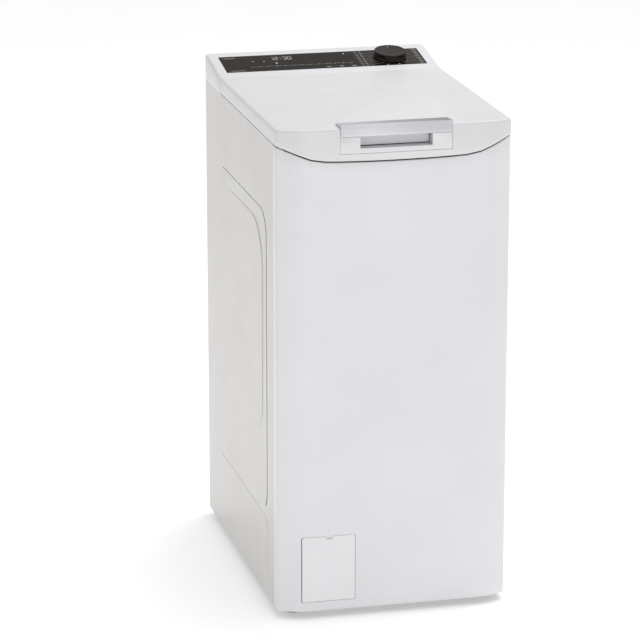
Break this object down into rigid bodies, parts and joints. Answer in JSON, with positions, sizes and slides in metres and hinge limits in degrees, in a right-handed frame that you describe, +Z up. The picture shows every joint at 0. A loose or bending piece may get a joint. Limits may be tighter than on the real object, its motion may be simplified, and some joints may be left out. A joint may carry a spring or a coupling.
{
  "type": "top load washing machine",
  "caption": "Narrow top load washing machine with a rear-hinged lid, silver grip bar, rear dark glass controls with a knob, embossed sides and a horizontal drum.",
  "frame": {"origin": "middle of the whole box's footprint, on the floor plane under the feet", "axes": "+X to the right seen from the front, -Y towards the user, +Z up"},
  "size_m": [0.405, 0.603, 0.8798],
  "materials": {
    "white_enamel": "semi-gloss enamel",
    "white_plastic": "fine satin",
    "satin_silver": "silver lacquer",
    "black_glass": "polished, dark back print",
    "dark_plastic": "satin",
    "circuit_board": "lacquered",
    "black_plastic": "moulded",
    "grey_plastic": "moulded",
    "dispenser_plastic": "moulded",
    "valve_plastic": "moulded",
    "pump_plastic": "moulded",
    "filter_plastic": "moulded",
    "tub_plastic": "glass-filled moulding",
    "concrete": "cast",
    "stainless_steel": "brushed",
    "cast_aluminium": "cast",
    "rubber": "matt"
  },
  "bodies": {
    "cabinet": {"base_tray": "grey_plastic", "front_panel": "white_enamel", "left_side_panel": "white_enamel", "right_side_panel": "white_enamel", "rear_panel": "white_enamel", "top_frame": "white_plastic", "dispenser_tray": "dispenser_plastic", "lid_lock": "black_plastic", "hinge_bracket_left": "stainless_steel", "hinge_bracket_right": "stainless_steel", "control_housing": "white_plastic", "control_glass": "black_glass", "control_board": "circuit_board", "inlet_valve": "valve_plastic", "drain_spigot": "black_plastic", "mains_gland": "black_plastic", "transport_cap_left": "grey_plastic", "transport_cap_right": "grey_plastic", "drain_pump": "pump_plastic", "rear_foot_left": "black_plastic", "rear_foot_right": "black_plastic", "damper_rod_left": "stainless_steel", "damper_rod_right": "stainless_steel"},
    "front_foot_left": {"front_foot_left": "black_plastic"},
    "front_foot_right": {"front_foot_right": "black_plastic"},
    "lid": {"lid_shell": "white_plastic", "lid_liner": "white_plastic", "handle_bar": "satin_silver", "handle_insert": "white_plastic", "lid_pin_left": "stainless_steel", "lid_pin_right": "stainless_steel"},
    "latch_lever": {"latch_lever": "satin_silver"},
    "program_knob": {"program_knob": "dark_plastic"},
    "pump_door": {"pump_door": "white_plastic"},
    "pump_filter": {"pump_filter": "filter_plastic"},
    "tub": {"outer_tub": "tub_plastic", "counterweight_upper": "concrete", "counterweight_lower": "concrete", "motor": "cast_aluminium", "heater": "stainless_steel", "drive_belt": "rubber", "damper_tube_left": "black_plastic", "damper_tube_right": "black_plastic", "bellows": "rubber", "spring_left": "stainless_steel", "spring_right": "stainless_steel", "sump_hose": "rubber"},
    "motor_rotor": {"motor_pulley": "stainless_steel"},
    "drum": {"drum_shell": "stainless_steel", "drum_end_left": "stainless_steel", "drum_end_right": "stainless_steel", "drum_pulley": "cast_aluminium", "lifter_front": "grey_plastic", "lifter_bottom": "grey_plastic", "lifter_rear": "grey_plastic"},
    "drum_flap_front": {"drum_flap_front": "stainless_steel"},
    "drum_flap_rear": {"drum_flap_rear": "stainless_steel"}
  },
  "joints": [
    {"name": "lid_hinge", "type": "hinge", "parent": "cabinet", "child": "lid", "pos_m": [0, 0.1455, 0.8464], "axis": [-1, 0, 0], "range_deg": [0, 95]},
    {"name": "latch_pull", "type": "hinge", "parent": "lid", "child": "latch_lever", "pos_m": [0, -0.26625, 0.844], "axis": [-1, 0, 0], "range_deg": [0, 12], "stiffness_Nm_per_rad": 0.6, "springref_deg": -11.46},
    {"name": "program_select", "type": "hinge", "parent": "cabinet", "child": "program_knob", "pos_m": [0.124, 0.216, 0.86213], "axis": [0, -0.1628, 0.9867], "continuous": true},
    {"name": "pump_door_hinge", "type": "hinge", "parent": "cabinet", "child": "pump_door", "pos_m": [-0.1605, -0.2985, 0.08835], "axis": [0, 0, -1], "range_deg": [0, 110]},
    {"name": "pump_filter_turn", "type": "hinge", "parent": "cabinet", "child": "pump_filter", "pos_m": [-0.115, -0.282, 0.088], "axis": [0, -1, 0], "range_deg": [0, 360]},
    {"name": "front_foot_left_height", "type": "slide", "parent": "cabinet", "child": "front_foot_left", "axis": [0, 0, 1], "range_m": [-0.012, 0]},
    {"name": "front_foot_right_height", "type": "slide", "parent": "cabinet", "child": "front_foot_right", "axis": [0, 0, 1], "range_m": [-0.012, 0]},
    {"name": "tub_bounce", "type": "slide", "parent": "cabinet", "child": "tub", "axis": [0, 0, 1], "range_m": [-0.01, 0.01], "stiffness_N_per_m": 20000, "springref_m": 0.01747, "deforming": ["spring_left", "spring_right", "bellows", "sump_hose"]},
    {"name": "drum_spin", "type": "hinge", "parent": "tub", "child": "drum", "pos_m": [0, -0.03, 0.49], "axis": [1, 0, 0], "range_deg": [-3600, 3600]},
    {"name": "motor_spin", "type": "hinge", "parent": "tub", "child": "motor_rotor", "pos_m": [0, 0.095, 0.165], "axis": [1, 0, 0], "range_deg": [-39600, 39600]},
    {"name": "flap_front_hinge", "type": "hinge", "parent": "drum", "child": "drum_flap_front", "pos_m": [0, -0.12612, 0.69244], "axis": [1, 0, 0], "range_deg": [0, 80]},
    {"name": "flap_rear_hinge", "type": "hinge", "parent": "drum", "child": "drum_flap_rear", "pos_m": [0, 0.06612, 0.69244], "axis": [-1, 0, 0], "range_deg": [0, 80]}
  ],
  "couplings": [
    {"joint": "motor_spin", "follows": "drum_spin", "ratio": 10.833}
  ]
}
